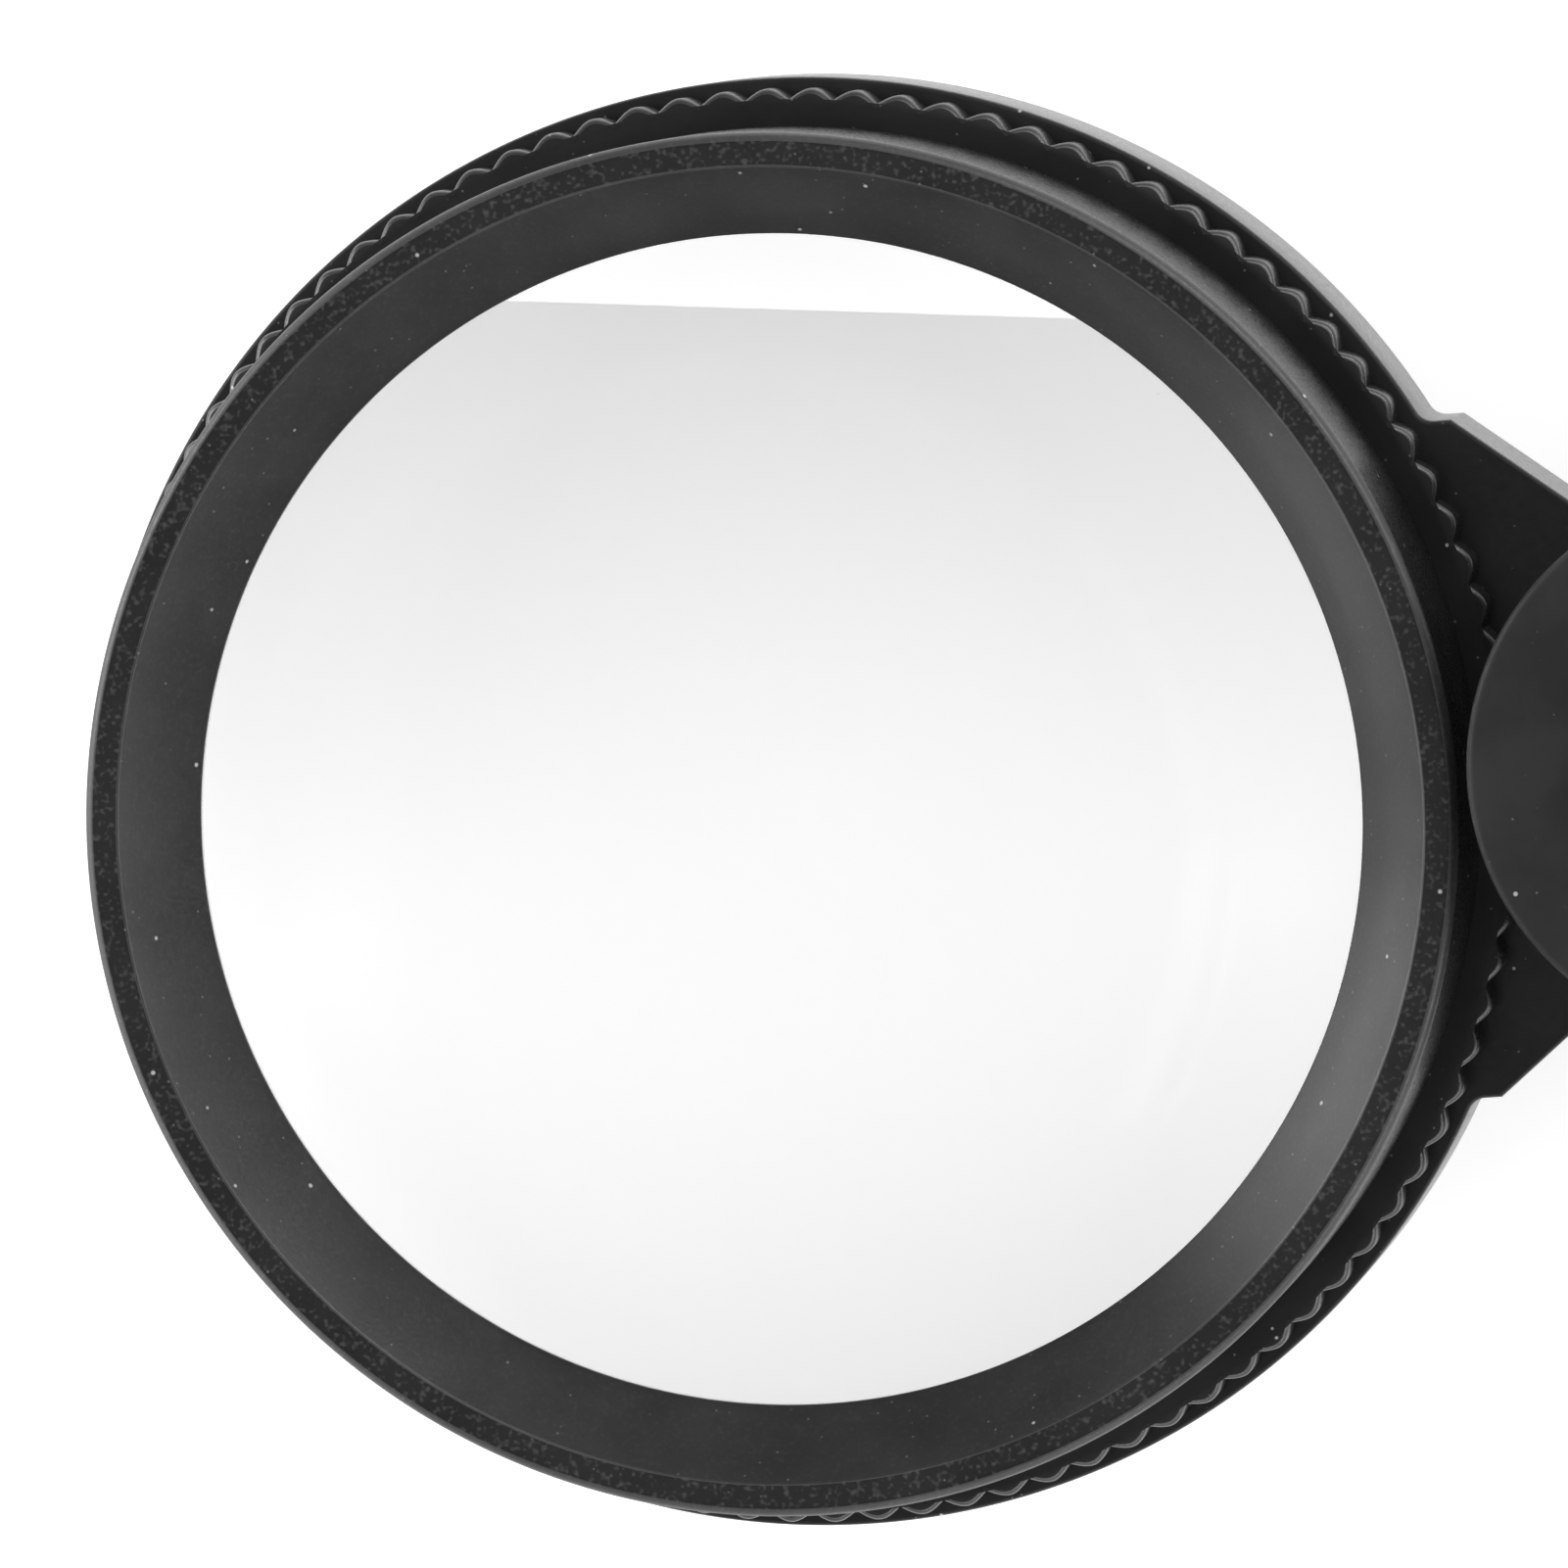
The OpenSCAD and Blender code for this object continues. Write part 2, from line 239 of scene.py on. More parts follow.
def turned(line, steps):
    """A line of (radius, height) points from axis to axis, turned into a solid."""
    verts, faces = [(0, 0, line[0][1])], []
    rings = line[1:-1]
    for r, z in rings:
        verts += [
            (r * math.cos(2 * math.pi * i / steps), r * math.sin(2 * math.pi * i / steps), z)
            for i in range(steps)
        ]
    verts.append((0, 0, line[-1][1]))
    last = len(verts) - 1
    for i in range(steps):
        j = (i + 1) % steps
        faces.append((0, 1 + j, 1 + i))
        for k in range(len(rings) - 1):
            a, b = 1 + k * steps, 1 + (k + 1) * steps
            faces.append((a + i, a + j, b + j, b + i))
        end = 1 + (len(rings) - 1) * steps
        faces.append((end + i, end + j, last))
    return verts, faces, [0] * len(faces)


FLAT_MARGIN = 0.25


def slab(loops, low, high, rounding, steps=4):
    """A plate with an outer loop and holes, its edges rounded at both faces."""
    # The first row lies in the flat side and keeps its shading even
    rows = [(rounding + FLAT_MARGIN, low)]
    for k in range(steps + 1):
        a = math.pi / 2 * k / steps
        rows.append((rounding * (1 - math.sin(a)), low + rounding * (1 - math.cos(a))))
    rows += [(d, low + high - z) for d, z in reversed(rows)]
    verts, faces = [], []
    starts = []
    for loop in loops:
        starts.append(len(verts))
        for d, z in rows:
            verts += [(x, y, z) for x, y in inset(loop, d)]
        count = len(loop)
        for k in range(len(rows) - 1):
            a, b = starts[-1] + k * count, starts[-1] + (k + 1) * count
            for i in range(count):
                j = (i + 1) % count
                faces.append((a + i, a + j, b + j, b + i))
    for row in (0, len(rows) - 1):
        flat = [[Vector((x, y, 0)) for x, y in inset(loop, rows[row][0])] for loop in loops]
        index = []
        for start, loop in zip(starts, loops):
            index += [start + row * len(loop) + i for i in range(len(loop))]
        faces += [tuple(index[i] for i in tri) for tri in tessellate_polygon(flat)]
    return verts, faces, [0] * len(faces)


def rounded(corner, before, after, r, steps):
    """A section's corner as an arc-like curve of about radius r, between its two neighbours."""
    c = Vector(corner)
    a = c + (Vector(before) - c).normalized() * r
    b = c + (Vector(after) - c).normalized() * r
    points = []
    for i in range(steps + 1):
        t = i / steps
        points.append(tuple((1 - t) ** 2 * a + 2 * t * (1 - t) * c + t ** 2 * b))
    return points


def soften(corners, steps=4):
    """A closed section from corners of (radius, height, rounding), 0 for a sharp one."""
    points = []
    places = [(r, z) for r, z, rounding in corners]
    for i, place in enumerate(places):
        rounding = corners[i][2]
        if rounding:
            points += rounded(place, places[i - 1], places[(i + 1) % len(places)], rounding, steps)
        else:
            points.append(place)
    return points


# From solids to pieces


def face_outward(mesh):
    bm = bmesh.new()
    bm.from_mesh(mesh)
    bmesh.ops.recalc_face_normals(bm, faces=bm.faces)
    bm.to_mesh(mesh)
    bm.free()


def work_object(name, solid, place=None):
    """A solid as an object, still in millimetres, ready to be cut, joined or finished."""
    verts, faces, numbers = solid
    mesh = bpy.data.meshes.new(name)
    mesh.from_pydata(verts, [], faces)
    mesh.polygons.foreach_set("material_index", numbers)
    if place:
        mesh.transform(place)
    face_outward(mesh)
    obj = bpy.data.objects.new(name, mesh)
    bpy.context.scene.collection.objects.link(obj)
    return obj


def combine(obj, tool, operation):
    """Joins or cuts obj with tool, and removes the tool."""
    modifier = obj.modifiers.new("combine", "BOOLEAN")
    modifier.object = tool
    modifier.operation = operation
    modifier.solver = "EXACT"
    bpy.context.view_layer.update()
    graph = bpy.context.evaluated_depsgraph_get()
    mesh = bpy.data.meshes.new_from_object(obj.evaluated_get(graph))
    obj.modifiers.clear()
    obj.data = mesh
    bpy.data.objects.remove(tool)


def finish_piece(obj, body, nodes, materials, crease=32):
    """Scales a piece to metres, shades it, ties it to its body and hides the CAD nodes it stands for."""
    mesh = obj.data
    mesh.transform(Matrix.Scale(MM, 4))
    # Clearing the slots also clears the faces' material numbers
    numbers = [face.material_index for face in mesh.polygons]
    mesh.materials.clear()
    for material in materials:
        mesh.materials.append(material)
    mesh.polygons.foreach_set("material_index", numbers)
    mesh.polygons.foreach_set("use_smooth", [True] * len(mesh.polygons))
    mesh.set_sharp_from_angle(angle=math.radians(crease))
    even = obj.modifiers.new("even shading", "WEIGHTED_NORMAL")
    even.keep_sharp = True
    even.weight = 60
    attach(obj, body)
    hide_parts(*nodes)


AT_HEAD = Matrix.Translation((HEAD_X, 0, MID_Z))
UPSIDE_DOWN = Matrix.Diagonal((1, 1, -1, 1))


# Materials


def start_material(name):
    material = bpy.data.materials.new(name)
    material.use_nodes = True
    nodes = material.node_tree.nodes
    nodes.clear()
    out = nodes.new("ShaderNodeOutputMaterial")
    shader = nodes.new("ShaderNodeBsdfPrincipled")
    material.node_tree.links.new(shader.outputs[0], out.inputs["Surface"])
    return material, shader


class Graph:
    """Short calls for the nodes of one material."""

    def __init__(self, material):
        self.tree = material.node_tree
        self.coords = self.tree.nodes.new("ShaderNodeTexCoord").outputs["Object"]

    def link(self, source, target):
        self.tree.links.new(source, target)

    def noise(self, size, detail=3.0, roughness=0.5):
        """Smooth noise with features of about this size in millimetres."""
        node = self.tree.nodes.new("ShaderNodeTexNoise")
        node.inputs["Scale"].default_value = 1 / (size * MM)
        node.inputs["Detail"].default_value = detail
        node.inputs["Roughness"].default_value = roughness
        self.link(self.coords, node.inputs["Vector"])
        return node.outputs[0]

    def cells(self, size):
        """Distance to the nearest of scattered points, in units of size."""
        node = self.tree.nodes.new("ShaderNodeTexVoronoi")
        node.inputs["Scale"].default_value = 1 / (size * MM)
        self.link(self.coords, node.inputs["Vector"])
        return node.outputs["Distance"]

    def band(self, source, low, high, to_low=0.0, to_high=1.0):
        """The source's range from low to high, stretched to another range."""
        node = self.tree.nodes.new("ShaderNodeMapRange")
        node.inputs["From Min"].default_value = low
        node.inputs["From Max"].default_value = high
        node.inputs["To Min"].default_value = to_low
        node.inputs["To Max"].default_value = to_high
        self.link(source, node.inputs["Value"])
        return node.outputs[0]

    def times(self, source, factor):
        node = self.tree.nodes.new("ShaderNodeMath")
        node.operation = "MULTIPLY"
        self.link(source, node.inputs[0])
        node.inputs[1].default_value = factor
        return node.outputs[0]

    def mix(self, factor, a, b):
        """A colour mix. a and b, the node's inputs 6 and 7, are colours or sockets."""
        node = self.tree.nodes.new("ShaderNodeMix")
        node.data_type = "RGBA"
        self.link(factor, node.inputs["Factor"])
        for key, value in ((6, a), (7, b)):
            if isinstance(value, tuple):
                node.inputs[key].default_value = value + (1,)
            else:
                self.link(value, node.inputs[key])
        return node.outputs[2]

    def bump(self, height, depth):
        """A bump normal whose full height is depth in millimetres."""
        node = self.tree.nodes.new("ShaderNodeBump")
        node.inputs["Strength"].default_value = 1.0
        node.inputs["Distance"].default_value = depth * MM
        self.link(height, node.inputs["Height"])
        return node.outputs[0]


def grey(level):
    return (level, level, level)


def flat_colour(level):
    """A grey with its alpha, as a socket takes it."""
    return grey(level) + (1,)


# Marks on the black coats: sizes, spacings and grey levels
PATCH_SIZE = 1.6
PIT_SIZE = 0.08
PIT_GREY = 0.16
SPECK_CELL = 0.34
SPECK_R = 0.03
SPECK_GREY = 0.11
DUST_CELL = 0.8
DUST_GREY = 0.4

# Marks on the glass
MARK_CELL = 4.0
MARK_R = 0.05
MARK_GREY = 0.5
GLASS_GREY = 0.9
GLASS_SHADE = 0.85

# Grain of the bare metals and of the plastic
METAL_GRAIN = 0.06
METAL_DEPTH = 0.002
PLASTIC_GRAIN = 0.1


def black_coat(name, base, rough, shine, grain, depth, pits=0.0, dust=0.05):
    """Black finish on metal: fine grain, faint patches, light pits and specks of dust.

    base is the coat's grey, rough its roughness, shine its specular level, grain the size
    and depth the height of its texture, pits how strongly pits show, and dust the size of
    the largest specks.
    """
    material, shader = start_material(name)
    graph = Graph(material)
    patches = graph.band(graph.noise(PATCH_SIZE), 0.35, 0.65)
    colour = graph.mix(patches, grey(base * 0.7), grey(base * 1.3))
    fine = graph.noise(grain, roughness=0.6)
    if pits:
        mask = graph.times(graph.band(graph.noise(PIT_SIZE, detail=0.0), 0.55, 0.85), pits)
        colour = graph.mix(mask, colour, grey(PIT_GREY))
    if dust:
        small = graph.band(graph.cells(SPECK_CELL), SPECK_R / SPECK_CELL, SPECK_R / 3 / SPECK_CELL)
        colour = graph.mix(small, colour, grey(SPECK_GREY))
        large = graph.band(graph.cells(DUST_CELL), dust / DUST_CELL, dust / 2 / DUST_CELL)
        colour = graph.mix(large, colour, grey(DUST_GREY))
    graph.link(colour, shader.inputs["Base Color"])
    graph.link(graph.band(fine, 0.3, 0.7, rough - 0.05, rough + 0.06), shader.inputs["Roughness"])
    graph.link(graph.bump(fine, depth), shader.inputs["Normal"])
    shader.inputs["Specular IOR Level"].default_value = shine
    return material


def metal(name, colour, rough):
    """Bare or darkened metal with fine marks."""
    material, shader = start_material(name)
    graph = Graph(material)
    fine = graph.noise(METAL_GRAIN, roughness=0.6)
    shade = graph.mix(fine, tuple(c * 0.85 for c in colour), colour)
    graph.link(shade, shader.inputs["Base Color"])
    graph.link(graph.band(fine, 0.3, 0.7, rough - 0.06, rough + 0.08), shader.inputs["Roughness"])
    graph.link(graph.bump(fine, METAL_DEPTH), shader.inputs["Normal"])
    shader.inputs["Metallic"].default_value = 1.0
    return material


def lens_glass(name, gloss=1.0):
    """Clear polished crown glass with a few faint marks. gloss is below 1 on a coated side."""
    material, shader = start_material(name)
    graph = Graph(material)
    marks = graph.band(graph.cells(MARK_CELL), MARK_R / MARK_CELL, MARK_R * 0.6 / MARK_CELL)
    colour = graph.mix(marks, grey(GLASS_GREY), grey(MARK_GREY))
    graph.link(colour, shader.inputs["Base Color"])
    shader.inputs["Roughness"].default_value = 0.0
    shader.inputs["IOR"].default_value = 1.52
    shader.inputs["Transmission Weight"].default_value = 1.0
    shader.inputs["Specular Tint"].default_value = flat_colour(gloss)
    # Light passes straight through for shadows, as it nearly does through thin glass
    nodes = material.node_tree.nodes
    path = nodes.new("ShaderNodeLightPath")
    clear = nodes.new("ShaderNodeBsdfTransparent")
    clear.inputs["Color"].default_value = flat_colour(GLASS_SHADE)
    blend = nodes.new("ShaderNodeMixShader")
    graph.link(path.outputs["Is Shadow Ray"], blend.inputs[0])
    graph.link(shader.outputs[0], blend.inputs[1])
    graph.link(clear.outputs[0], blend.inputs[2])
    graph.link(blend.outputs[0], nodes["Material Output"].inputs["Surface"])
    return material


def washer_plastic(name):
    material, shader = start_material(name)
    graph = Graph(material)
    fine = graph.noise(PLASTIC_GRAIN)
    graph.link(graph.mix(fine, grey(0.05), grey(0.08)), shader.inputs["Base Color"])
    graph.link(graph.band(fine, 0.3, 0.7, 0.5, 0.6), shader.inputs["Roughness"])
    return material


# Each coat's name, grey, roughness, shine, grain and depth
SATIN = black_coat("satin_black", 0.012, 0.34, 0.5, 0.09, 0.002, pits=0.06)
RIM = black_coat("pitted_black", 0.007, 0.4, 0.25, 0.1, 0.005, pits=0.24)
EDGE = black_coat("edge_black", 0.014, 0.42, 0.75, 0.1, 0.0008, pits=0.12)
WALL = black_coat("turned_black", 0.01, 0.28, 0.3, 0.1, 0.0005, dust=0.04)
KNURL = black_coat("knurl_black", 0.012, 0.3, 0.75, 0.08, 0.0008, dust=0.04)
PLATE = black_coat("plate_black", 0.009, 0.4, 0.22, 0.12, 0.002, dust=0.04)
PLATE_EDGE = black_coat("plate_edge_black", 0.02, 0.26, 0.45, 0.1, 0.003, pits=0.3)
COVER = black_coat("cover_black", 0.015, 0.5, 0.28, 0.16, 0.005)
INNER = black_coat("inner_black", 0.01, 0.6, 0.2, 0.12, 0.002, dust=0.0)
GLASS = lens_glass("lens_glass")
COATED_GLASS = lens_glass("coated_glass", 0.02)
DARK_STEEL = metal("dark_steel", (0.16, 0.16, 0.17), 0.32)
SPRING_STEEL = metal("spring_steel", (0.5, 0.5, 0.51), 0.28)
BRASS = metal("bush_brass", (0.72, 0.52, 0.24), 0.25)
PLASTIC = washer_plastic("washer_plastic")


# Lens head


# Which of a bezel's materials a face wears
SATIN_FACE, RIM_FACE, WALL_FACE, EDGE_FACE = range(4)


def bezel_solid():
    """One bezel over the glass: cone, flat rim, rounded edge, wall and skirt."""
    section = soften([
        (CELL_BORE_R, LENS_FACE_Z, 0), (CLEAR_R, LENS_FACE_Z, LIP_ROUND),
        (CLEAR_R, LENS_FACE_Z + LIP_T, CONE_FOOT_ROUND), (CONE_R, RIM_Z, CONE_TOP_ROUND),
        (RIM_R, RIM_Z, 0), (RIM_R, KNURL_Z, WALL_FOOT_ROUND), (THREAD_R, KNURL_Z, 0),
        (THREAD_R, CELL_Z, 0), (CELL_BORE_R, CELL_Z, 0),
    ])
    # A point just inside the edge's rounding keeps the rim's shading flat
    edge = [(RIM_R - RIM_ROUND - RIM_LAP, RIM_Z)]
    edge += arc((RIM_R - RIM_ROUND, RIM_Z - RIM_ROUND), RIM_ROUND, math.pi / 2, 0, RIM_STEPS)
    corner = section.index((RIM_R, RIM_Z))
    section[corner:corner + 1] = edge
    section.reverse()
    marks = []
    for k, (r, z) in enumerate(section):
        r2, z2 = section[(k + 1) % len(section)]
        mid_r, mid_z = (r + r2) / 2, (z + z2) / 2
        if mid_z > RIM_Z - RIM_FLAT and mid_r > CONE_R - RIM_LAP:
            marks.append(RIM_FACE)
        elif mid_r > CONE_R and mid_z > RIM_Z - RIM_ROUND:
            marks.append(EDGE_FACE)
        elif mid_r > CONE_R:
            marks.append(WALL_FACE)
        else:
            marks.append(SATIN_FACE)
    return lathe(section, BEZEL_STEPS, marks)


def knurled_ring_solid():
    """Scalloped ring: round crests, narrow grooves and a bevel across the front corner."""
    steps = KNURLS * STEPS_PER_KNURL
    bevel_r = KNURL_R - KNURL_BEVEL
    sections = []
    for i in range(steps):
        u = 2 * (i % STEPS_PER_KNURL) / STEPS_PER_KNURL - 1
        wave = (1 - GROOVE_ROUND) * u * u + GROOVE_ROUND * (1 - math.cos(math.pi * u)) / 2
        r = KNURL_R - KNURL_DEPTH * wave
        corner = (r, KNURL_Z - KNURL_SLOPE * (r - bevel_r))
        foot = [(THREAD_R, KNURL_Z), (THREAD_R, PLATE_Z), (r, PLATE_Z)]
        crest = rounded(corner, (r, PLATE_Z), (bevel_r, KNURL_Z), CREST_ROUND, CREST_STEPS)
        top = rounded((bevel_r, KNURL_Z), corner, (THREAD_R, KNURL_Z), BEVEL_ROUND, BEVEL_STEPS)
        sections.append(foot + crest + top)
    # The bevel starts at the crest's last point
    bevel_start = len(foot + crest) - 1
    marks = [int(k >= bevel_start) for k in range(len(sections[0]))]
    return around(sections, marks)


def lens_solid():
    """Plano-convex lens, flat side up, with a small ground bevel round the flat face."""
    line = [(0, LENS_FACE_Z), (LENS_R - LENS_BEVEL, LENS_FACE_Z), (LENS_R, LENS_FACE_Z - LENS_BEVEL)]
    centre = LENS_BACK_Z + DOME_R
    line.append((LENS_R, centre - math.sqrt(DOME_R ** 2 - LENS_R ** 2)))
    for k in range(1, DOME_RINGS):
        r = LENS_R * (1 - k / DOME_RINGS)
        line.append((r, centre - math.sqrt(DOME_R ** 2 - r ** 2)))
    line.append((0, LENS_BACK_Z))
    verts, faces = turned(line, LENS_STEPS)[:2]
    # The flat outer face wears the first material and all else the second
    numbers = [int(min(verts[i][2] for i in face) < LENS_FACE_Z) for face in faces]
    return verts, faces, numbers


def holder_outline():
    """Outer loop of the holder's plate, anticlockwise from the upper shoulder."""
    pivot = (ARM, 0)
    top = Vector((math.cos(SHOULDER_A), math.sin(SHOULDER_A))) * (RING_R + SHOULDER_OUT)
    edge = Vector((math.cos(TONGUE_A), -math.sin(TONGUE_A)))
    fillet_y = top.y + SHOULDER_FILLET
    fillet = Vector((math.sqrt((RING_R + SHOULDER_FILLET) ** 2 - fillet_y ** 2), fillet_y))
    touch = fillet * (RING_R / (RING_R + SHOULDER_FILLET))
    touch_a = angle_of(touch)
    side_a = angle_of(touch, fillet)
    hub = HUB_R - HUB_OVERLAP
    upper_meet = meet(top, edge, pivot, hub)
    heel_side = math.sqrt((END_R - HEEL_INSET) ** 2 - STOP_REACH ** 2)
    heel_in = Vector(pivot) + ACROSS * heel_side
    heel_out = heel_in + ALONG * STOP_REACH
    low = Vector((top.x, -top.y))
    rise = Vector((edge.x, -edge.y))
    # The heel's outer side runs along the taper and cuts the tongue's lower edge
    gap = heel_in - low
    share = (gap.x * ALONG.y - gap.y * ALONG.x) / (rise.x * ALONG.y - rise.y * ALONG.x)
    cut = low + rise * share
    hub_foot = Vector(pivot) + ALONG * STOP_REACH + ACROSS * math.sqrt(hub ** 2 - STOP_REACH ** 2)
    loop = arc((0, 0), RING_R, touch_a, 2 * math.pi - touch_a, RING_STEPS)
    loop += arc((fillet.x, -fillet.y), SHOULDER_FILLET, -side_a, math.pi / 2, FILLET_STEPS)[1:]
    loop += [tuple(low), tuple(cut), tuple(heel_out)]
    loop += arc(pivot, hub, angle_of(hub_foot, pivot), angle_of(upper_meet, pivot), HUB_ARC_STEPS)
    loop += [tuple(top)]
    loop += arc(tuple(fillet), SHOULDER_FILLET, -math.pi / 2, side_a, FILLET_STEPS)[:-1]
    return loop


def make_head():
    flip = AT_HEAD @ UPSIDE_DOWN
    for name, node, place in (
        ("front_bezel_turned", "front_bezel", AT_HEAD),
        ("rear_bezel_turned", "rear_bezel", flip),
    ):
        bezel = work_object(name, bezel_solid(), place)
        finish_piece(bezel, "head", [node], [SATIN, RIM, WALL, EDGE])
    for name, node, place in (
        ("front_ring_knurled", "front_knurled_ring", AT_HEAD),
        ("rear_ring_knurled", "rear_knurled_ring", flip),
    ):
        ring = work_object(name, knurled_ring_solid(), place)
        finish_piece(ring, "head", [node], [KNURL, PLATE], crease=50)
    for name, node, place, face in (
        ("front_lens_polished", "front_lens", AT_HEAD, GLASS),
        ("rear_lens_polished", "rear_lens", flip, COATED_GLASS),
    ):
        lens = work_object(name, lens_solid(), place)
        finish_piece(lens, "head", [node], [face, COATED_GLASS])

    bores = [hole((0, 0), THREAD_R, RING_BORE_STEPS), hole((ARM, 0), BUSH_R, BUSH_STEPS)]
    plate_solid = slab([holder_outline()] + bores, -PLATE_Z, PLATE_Z, PLATE_ROUND)
    plate = work_object("holder_milled", plate_solid, AT_HEAD)
    hub_section = soften([
        (BUSH_R, -RIM_Z, 0), (HUB_R, -RIM_Z, HUB_ROUND), (HUB_R, RIM_Z, HUB_ROUND), (BUSH_R, RIM_Z, 0),
    ])
    at_pivot = AT_HEAD @ Matrix.Translation((ARM, 0, 0))
    combine(plate, work_object("hub", lathe(hub_section, HUB_STEPS), at_pivot), "UNION")
    # Sides and rounded edges wear the second material
    sides = [int(abs(face.normal.z) < UPRIGHT_NORMAL) for face in plate.data.polygons]
    plate.data.polygons.foreach_set("material_index", sides)
    finish_piece(plate, "head", ["holder"], [PLATE, PLATE_EDGE])


# Cover


def leaf_outline():
    """Teardrop with a nose, anticlockwise from the upper tangent of the pivot end."""
    start = math.pi / 2 + TAPER
    touch = Vector((NOSE_X, 0)) + Vector((math.sin(NOSE_A), math.cos(NOSE_A))) * NOSE_R
    back = Vector((-math.cos(NOSE_A), math.sin(NOSE_A)))
    corner = meet(touch, back, (ARM, 0), BIG_R)
    corner_a = angle_of(corner, (ARM, 0))
    loop = arc((0, 0), END_R, start, 2 * math.pi - start, LEAF_END_STEPS)
    loop += arc((ARM, 0), BIG_R, 2 * math.pi - start, 2 * math.pi - corner_a, LEAF_STEPS)
    loop += arc((NOSE_X, 0), NOSE_R, NOSE_A - math.pi / 2, math.pi / 2 - NOSE_A, NOSE_STEPS)
    loop += arc((ARM, 0), BIG_R, corner_a, start, LEAF_STEPS)
    return loop


def screw_places():
    """Middles of a leaf's screws: one on the straight side, the others round the end."""
    first = ALONG * (WALL_START + FIRST_SCREW) + ACROSS * (END_R - WALL_T / 2)
    middle = BIG_R - WALL_T / 2
    turns = [math.radians(a) for a in SCREW_TURNS]
    return [tuple(first)] + [(ARM + middle * math.cos(a), middle * math.sin(a)) for a in turns]


def leaf(name, rear):
    """One leaf with its outer face up, cut for the screws, the barrel and the eyelet."""
    obj = work_object(name, slab([leaf_outline()], 0, LEAF_T, LEAF_ROUND))
    below, above = -CUT_PAST, LEAF_T + CUT_PAST
    stem = SMALL_D / 2 + SEAT_GAP
    head = SMALL_HEAD_D / 2 + SEAT_GAP
    sink = (SMALL_HEAD_D - SMALL_D) / 2 + SEAT_GAP
    screw = [(0, below), (stem, below), (stem, LEAF_T - sink), (head, LEAF_T), (head, above), (0, above)]
    cutters = [(screw, x, y) for x, y in screw_places()]
    bore = BARREL_R + SEAT_GAP
    barrel = [(0, below), (bore, below), (bore, above), (0, above)]
    if rear:
        step = LEAF_T - FLANGE_T
        flange = FLANGE_R + SEAT_GAP
        barrel[2:3] = [(bore, step), (flange, step), (flange, above)]
    cutters.append((barrel, 0, 0))
    bore = EYELET_R + SEAT_GAP
    step = LEAF_T - EYELET_T
    flange = bore + EYELET_FLANGE
    eyelet = [(0, below), (bore, below), (bore, step), (flange, step), (flange, above), (0, above)]
    cutters.append((eyelet, NOSE_X, 0))
    for line, x, y in cutters:
        cutter = work_object("cutter", turned(line, CUT_STEPS), Matrix.Translation((x, y, 0)))
        combine(obj, cutter, "DIFFERENCE")
    if rear:
        place = Matrix.Translation((0, 0, LEAF_T)) @ UPSIDE_DOWN
    else:
        place = Matrix.Translation((0, 0, TOTAL_H - LEAF_T))
    obj.data.transform(place)
    face_outward(obj.data)
    return obj


def make_cover():
    front = leaf("front_leaf_rounded", rear=False)
    finish_piece(front, "cover", ["front_cover"], [COVER])
    rear = leaf("rear_leaf_rounded", rear=True)
    finish_piece(rear, "cover", ["rear_cover"], [COVER])

    flange_r = EYELET_R + EYELET_FLANGE
    upper = TOTAL_H - EYELET_T
    section = soften([
        (EYELET_BORE_R, 0, EYELET_MOUTH_ROUND), (flange_r, 0, EYELET_RIM_ROUND),
        (flange_r, EYELET_T, 0), (EYELET_R, EYELET_T, 0), (EYELET_R, upper, 0), (flange_r, upper, 0),
        (flange_r, TOTAL_H, EYELET_RIM_ROUND), (EYELET_BORE_R, TOTAL_H, EYELET_MOUTH_ROUND),
    ], steps=6)
    at_nose = Matrix.Translation((NOSE_X, 0, 0))
    eyelet = work_object("lanyard_eyelet_rolled", lathe(section, EYELET_STEPS), at_nose)
    finish_piece(eyelet, "cover", ["lanyard_eyelet"], [DARK_STEEL])


CARRIED = {
    "lens_cell": INNER, "spacer_ring": INNER, "pivot_bush": BRASS, "cover_wall": COVER,
    "cover_screws": DARK_STEEL, "pivot_barrel": DARK_STEEL, "pivot_screw": DARK_STEEL,
    "spring_washer": SPRING_STEEL, "front_washer": PLASTIC, "rear_washer": PLASTIC,
}


def paint_carried():
    for name, material in CARRIED.items():
        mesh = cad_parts[name].data
        mesh.materials.clear()
        mesh.materials.append(material)


# Stage


FLOOR_HALF = 1500
PAPER_GREY = 0.75
FLOOR_GLOW = 0.65


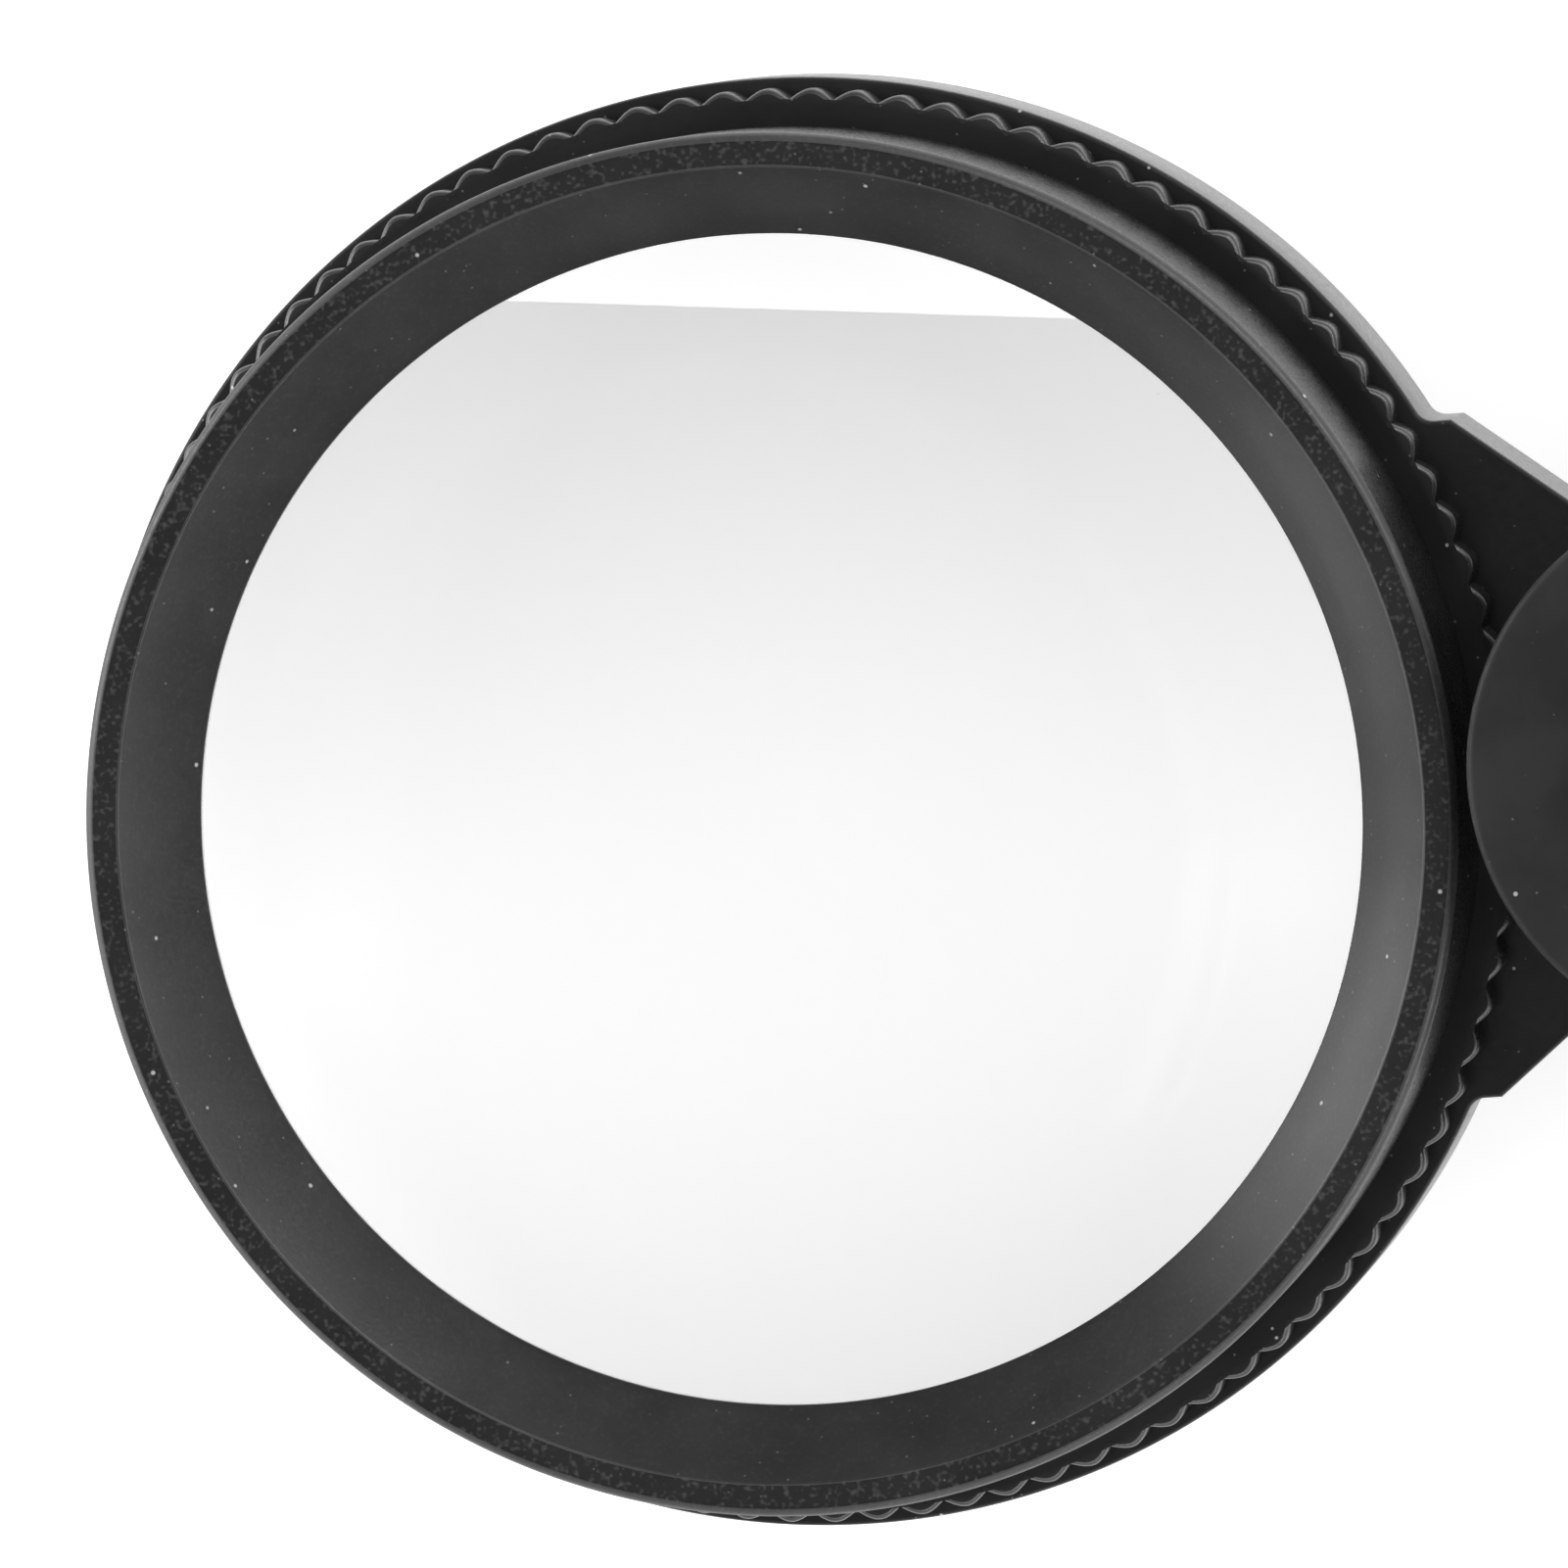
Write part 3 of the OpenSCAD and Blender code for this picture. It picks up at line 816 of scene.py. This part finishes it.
def make_floor():
    """Pale paper that glows where it is seen, so that it shows white and keeps the shadow."""
    half = FLOOR_HALF * MM
    mesh = bpy.data.meshes.new("floor")
    corners = [(-half, -half, 0), (half, -half, 0), (half, half, 0), (-half, half, 0)]
    mesh.from_pydata(corners, [], [(0, 1, 2, 3)])
    floor = bpy.data.objects.new("floor", mesh)
    bpy.context.scene.collection.objects.link(floor)
    material = bpy.data.materials.new("floor_paper")
    material.use_nodes = True
    tree = material.node_tree
    tree.nodes.clear()
    out = tree.nodes.new("ShaderNodeOutputMaterial")
    add = tree.nodes.new("ShaderNodeAddShader")
    paper = tree.nodes.new("ShaderNodeBsdfDiffuse")
    paper.inputs["Color"].default_value = flat_colour(PAPER_GREY)
    glow = tree.nodes.new("ShaderNodeEmission")
    path = tree.nodes.new("ShaderNodeLightPath")
    seen = path.outputs["Is Camera Ray"]
    for kind in ("Is Glossy Ray", "Is Transmission Ray"):
        either = tree.nodes.new("ShaderNodeMath")
        either.operation = "MAXIMUM"
        tree.links.new(seen, either.inputs[0])
        tree.links.new(path.outputs[kind], either.inputs[1])
        seen = either.outputs[0]
    level = tree.nodes.new("ShaderNodeMath")
    level.operation = "MULTIPLY"
    level.inputs[1].default_value = FLOOR_GLOW
    tree.links.new(seen, level.inputs[0])
    tree.links.new(level.outputs[0], glow.inputs["Strength"])
    tree.links.new(paper.outputs[0], add.inputs[0])
    tree.links.new(glow.outputs[0], add.inputs[1])
    tree.links.new(add.outputs[0], out.inputs["Surface"])
    mesh.materials.append(material)


WORLD_GREY = 0.55
# Azimuth, elevation and radiance of each softbox round the head
SOFTBOXES = (
    (0, 24, 7.5), (40, 24, 8.0), (160, 24, 9.0), (160, 8, 10.0), (200, 24, 6.0),
    (200, 8, 4.0), (240, 24, 2.0), (280, 24, 4.6), (320, 24, 6.5),
)
SOFTBOX_SIZE = (240, 60)
SOFTBOX_DISTANCE = 400
# Azimuth, elevation, size and radiance of one more, higher up
HIGH_SOFTBOX = (62, 40, (240, 100), 3.6)
# Overhead lamps: sizes, places from the head's middle, and how they lean or turn
GRID_SIZE = (110, 60)
GRID_PLACE = (-64, -30, 405)
GRID_LEANS = {"grid_left": -0.2, "grid_right": -0.12}
GRID_LEAN_Y = -0.08
GRID_RADIANCE = 7.6
# Tangent of half the spread of the overhead pair
GRID_REACH = 0.07
STRIP_SIZE = (90, 7)
STRIP_PLACE = (-62, 0.5, 405)
STRIP_TURN = math.radians(-6)
STRIP_RADIANCE = 7.0


def from_head(place):
    """A place given from the head's middle, in metres of the shared frame."""
    return Vector((HEAD_X + place[0], place[1], MID_Z + place[2])) * MM


def lamp(name, size, radiance, location, back):
    """An area lamp whose back faces the given direction."""
    data = bpy.data.lights.new(name, "AREA")
    data.shape = "RECTANGLE"
    data.size = size[0] * MM
    data.size_y = size[1] * MM
    data.energy = radiance * math.pi * data.size * data.size_y
    obj = bpy.data.objects.new(name, data)
    obj.location = location
    obj.rotation_mode = "QUATERNION"
    obj.rotation_quaternion = back.to_track_quat("Z", "Y")
    obj.visible_camera = False
    bpy.context.scene.collection.objects.link(obj)
    return obj


def softbox(name, azimuth, elevation, size, radiance):
    """A lamp aimed at the head. Azimuth 0 is +X and 90 is +Y."""
    a, e = math.radians(azimuth), math.radians(elevation)
    toward = Vector((math.cos(a) * math.cos(e), math.sin(a) * math.cos(e), math.sin(e)))
    lamp(name, size, radiance, from_head(toward * SOFTBOX_DISTANCE), toward)


def make_light():
    world = bpy.data.worlds.new("studio")
    world.use_nodes = True
    background = world.node_tree.nodes["Background"]
    background.inputs["Color"].default_value = flat_colour(WORLD_GREY)
    background.inputs["Strength"].default_value = 1.0
    bpy.context.scene.world = world
    for azimuth, elevation, radiance in SOFTBOXES:
        softbox(f"softbox_{azimuth}_{elevation}", azimuth, elevation, SOFTBOX_SIZE, radiance)
    softbox("high_softbox", *HIGH_SOFTBOX)
    # Overhead pair whose mirror image in the flat glass fades towards the upper edge
    for name, lean in GRID_LEANS.items():
        back = Vector((lean, GRID_LEAN_Y, 1))
        grid = lamp(name, GRID_SIZE, GRID_RADIANCE, from_head(GRID_PLACE), back)
        grid.data.spread = 2 * math.atan(GRID_REACH)
        grid.data.energy *= 1 - math.atan(GRID_REACH) / GRID_REACH
    # Shows as the bright part above the line across the flat face of the lens
    up = Vector((0, 0, 1))
    strip = lamp("strip_softbox", STRIP_SIZE, STRIP_RADIANCE, from_head(STRIP_PLACE), up)
    strip.rotation_quaternion = Quaternion(up, STRIP_TURN)


# The camera's tilt from straight down and its roll in degrees, its aim from the head's
# middle, its distance and its focal length
CAMERA_TURNS = (9.12, 3.95, -4.55)
CAMERA_AIM = (0.338, 0.731, 6.0)
CAMERA_DISTANCE = 220
FOCAL_LENGTH = 284.23


def make_camera():
    """The photograph's view: nearly straight down on the lens, tilted to its upper right."""
    tilt_x, tilt_y, roll = (math.radians(a) for a in CAMERA_TURNS)
    aim = from_head(CAMERA_AIM)
    back = Vector((math.tan(tilt_x), math.tan(tilt_y), 1)).normalized()
    right = (-back).cross(Vector((0, 1, 0))).normalized()
    up = right.cross(-back)
    right, up = (
        math.cos(roll) * right + math.sin(roll) * up,
        -math.sin(roll) * right + math.cos(roll) * up,
    )
    data = bpy.data.cameras.new("camera")
    data.lens = FOCAL_LENGTH
    data.sensor_width = 36
    data.clip_start = 0.01
    data.clip_end = 10
    camera = bpy.data.objects.new("camera", data)
    turn = Matrix((right, up, back)).transposed().to_4x4()
    camera.matrix_world = Matrix.Translation(aim + back * (CAMERA_DISTANCE * MM)) @ turn
    bpy.context.scene.collection.objects.link(camera)
    bpy.context.scene.camera = camera


make_head()
make_cover()
paint_carried()
make_floor()
make_light()
make_camera()
bpy.context.scene.view_settings.view_transform = "Standard"
